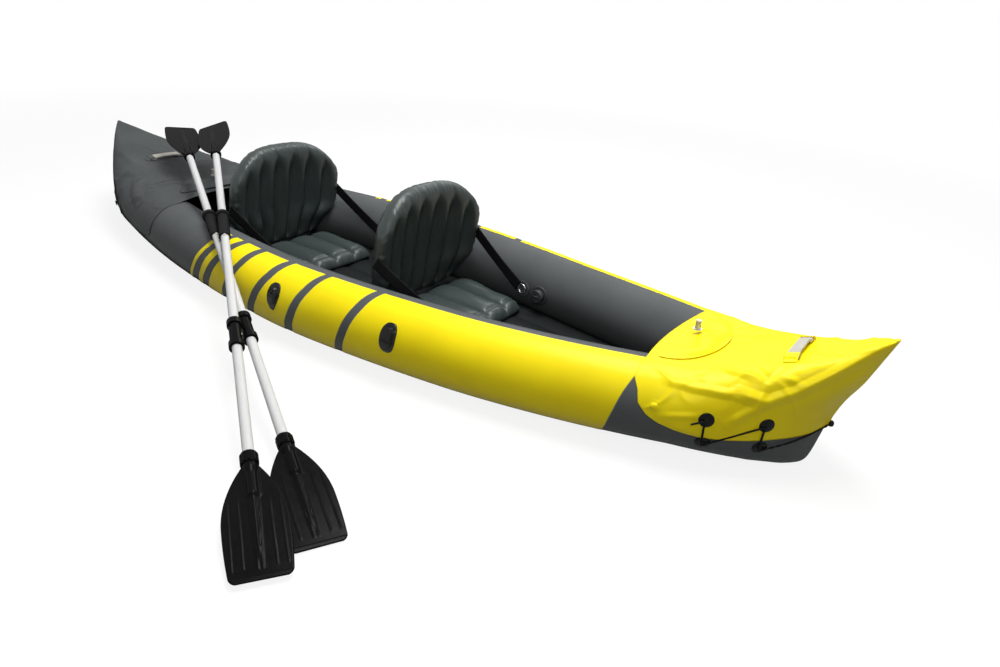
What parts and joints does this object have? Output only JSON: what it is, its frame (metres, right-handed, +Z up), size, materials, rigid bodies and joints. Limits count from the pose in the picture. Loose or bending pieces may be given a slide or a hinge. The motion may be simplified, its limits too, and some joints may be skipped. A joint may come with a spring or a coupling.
{
  "type": "inflatable tandem kayak with paddles",
  "caption": "Inflatable tandem kayak with closed bow and stern covers, padded folding seats, lacing and take-apart double-bladed paddles laid across its side tube.",
  "frame": {"origin": "on the ground, on the flat bottom panel, under the middle of the hull", "axes": "+X to the bow, +Y to port, +Z up"},
  "size_m": [3.1224, 1.5946, 0.4392],
  "materials": {
    "yellow_vinyl": "satin",
    "grey_vinyl": "satin",
    "seat_vinyl": "satin",
    "clear_vinyl": "gloss",
    "handle_grey": "matte",
    "cord_black": "matte",
    "webbing_black": "matte",
    "ring_steel": "satin",
    "spring_steel": "satin",
    "shaft_white": "satin",
    "valve_black": "matte",
    "moulded_black": "satin"
  },
  "bodies": {
    "hull": {"tube_starboard": "yellow_vinyl", "tube_port": "yellow_vinyl", "floor_chamber": "grey_vinyl", "bottom_panel": "grey_vinyl", "bow_cover": "yellow_vinyl", "stern_cover": "grey_vinyl", "bow_visor_pad": "yellow_vinyl", "stern_visor_pad": "grey_vinyl", "bow_visor_valve": "clear_vinyl", "stern_visor_valve": "clear_vinyl", "bow_handle": "handle_grey", "stern_handle": "handle_grey", "bow_lacing_eyes": "moulded_black", "stern_lacing_eyes": "moulded_black", "bow_lace": "cord_black", "stern_lace": "cord_black", "side_clips": "moulded_black", "starboard_valve": "valve_black", "port_valve": "valve_black", "floor_valve": "valve_black", "strap_patches": "grey_vinyl", "strap_rings": "ring_steel", "front_seat_base": "seat_vinyl", "front_strap_starboard": "webbing_black", "front_strap_port": "webbing_black", "rear_seat_base": "seat_vinyl", "rear_strap_starboard": "webbing_black", "rear_strap_port": "webbing_black"},
    "bow_visor_plug_body": {"bow_visor_plug": "clear_vinyl"},
    "stern_visor_plug_body": {"stern_visor_plug": "clear_vinyl"},
    "starboard_valve_cap_body": {"starboard_valve_cap": "valve_black"},
    "port_valve_cap_body": {"port_valve_cap": "valve_black"},
    "floor_valve_cap_body": {"floor_valve_cap": "valve_black"},
    "front_backrest_body": {"front_backrest": "seat_vinyl"},
    "rear_backrest_body": {"rear_backrest": "seat_vinyl"},
    "paddle_a_low": {"paddle_a_lower_blade": "moulded_black", "paddle_a_lower_collar": "moulded_black", "paddle_a_lower_shaft": "shaft_white", "paddle_a_connector": "moulded_black"},
    "paddle_a_mid": {"paddle_a_mid_shaft": "shaft_white", "paddle_a_snap_spring": "spring_steel"},
    "paddle_a_button": {"paddle_a_snap_button": "spring_steel"},
    "paddle_a_top": {"paddle_a_sleeve": "moulded_black", "paddle_a_upper_shaft": "shaft_white", "paddle_a_upper_collar": "moulded_black", "paddle_a_upper_blade": "moulded_black"},
    "paddle_b_low": {"paddle_b_lower_blade": "moulded_black", "paddle_b_lower_collar": "moulded_black", "paddle_b_lower_shaft": "shaft_white", "paddle_b_connector": "moulded_black"},
    "paddle_b_mid": {"paddle_b_mid_shaft": "shaft_white", "paddle_b_snap_spring": "spring_steel"},
    "paddle_b_button": {"paddle_b_snap_button": "spring_steel"},
    "paddle_b_top": {"paddle_b_sleeve": "moulded_black", "paddle_b_upper_shaft": "shaft_white", "paddle_b_upper_collar": "moulded_black", "paddle_b_upper_blade": "moulded_black"}
  },
  "joints": [
    {"name": "front_recline", "type": "hinge", "parent": "hull", "child": "front_backrest_body", "pos_m": [0.205, 0, 0.0966], "axis": [0, 1, 0], "range_deg": [-14, 14], "deforming": ["front_strap_starboard", "front_strap_port"]},
    {"name": "rear_recline", "type": "hinge", "parent": "hull", "child": "rear_backrest_body", "pos_m": [-0.481, 0, 0.0966], "axis": [0, 1, 0], "range_deg": [-7, 14], "deforming": ["rear_strap_starboard", "rear_strap_port"]},
    {"name": "bow_plug_pull", "type": "slide", "parent": "hull", "child": "bow_visor_plug_body", "axis": [0, 0, 1], "range_m": [0, 0.014]},
    {"name": "stern_plug_pull", "type": "slide", "parent": "hull", "child": "stern_visor_plug_body", "axis": [0, 0, 1], "range_m": [0, 0.014]},
    {"name": "starboard_cap_turn", "type": "hinge", "parent": "hull", "child": "starboard_valve_cap_body", "pos_m": [0.53996, -0.19355, 0.1073], "axis": [-0.1416, 0.9899, 0], "range_deg": [0, 270]},
    {"name": "port_cap_turn", "type": "hinge", "parent": "hull", "child": "port_valve_cap_body", "pos_m": [0.53996, 0.19355, 0.1073], "axis": [-0.1416, -0.9899, 0], "range_deg": [0, 270]},
    {"name": "floor_cap_turn", "type": "hinge", "parent": "hull", "child": "floor_valve_cap_body", "pos_m": [-0.62, 0, 0.0466], "axis": [0, 0, 1], "range_deg": [0, 270]},
    {"name": "paddle_b_lift", "type": "slide", "parent": "hull", "child": "paddle_b_low", "axis": [0, 0, 1], "range_m": [0, 0.3]},
    {"name": "paddle_b_lower_pull", "type": "slide", "parent": "paddle_b_low", "child": "paddle_b_mid", "axis": [-0.8793, 0.4461, 0.1669], "range_m": [0, 0.06]},
    {"name": "paddle_b_upper_pull", "type": "slide", "parent": "paddle_b_mid", "child": "paddle_b_top", "axis": [-0.8793, 0.4461, 0.1669], "range_m": [0, 0.08]},
    {"name": "paddle_b_button_press", "type": "slide", "parent": "paddle_b_mid", "child": "paddle_b_button", "axis": [-0.1489, 0.0755, -0.986], "range_m": [0, 0.003], "stiffness_N_per_m": 1500, "deforming": ["paddle_b_snap_spring"]},
    {"name": "paddle_a_lift", "type": "slide", "parent": "paddle_b_low", "child": "paddle_a_low", "axis": [0, 0, 1], "range_m": [0, 0.3]},
    {"name": "paddle_a_lower_pull", "type": "slide", "parent": "paddle_a_low", "child": "paddle_a_mid", "axis": [-0.8253, 0.538, 0.1718], "range_m": [0, 0.06]},
    {"name": "paddle_a_upper_pull", "type": "slide", "parent": "paddle_a_mid", "child": "paddle_a_top", "axis": [-0.8253, 0.538, 0.1718], "range_m": [0, 0.08]},
    {"name": "paddle_a_button_press", "type": "slide", "parent": "paddle_a_mid", "child": "paddle_a_button", "axis": [-0.1439, 0.0938, -0.9851], "range_m": [0, 0.003], "stiffness_N_per_m": 1500, "deforming": ["paddle_a_snap_spring"]}
  ]
}
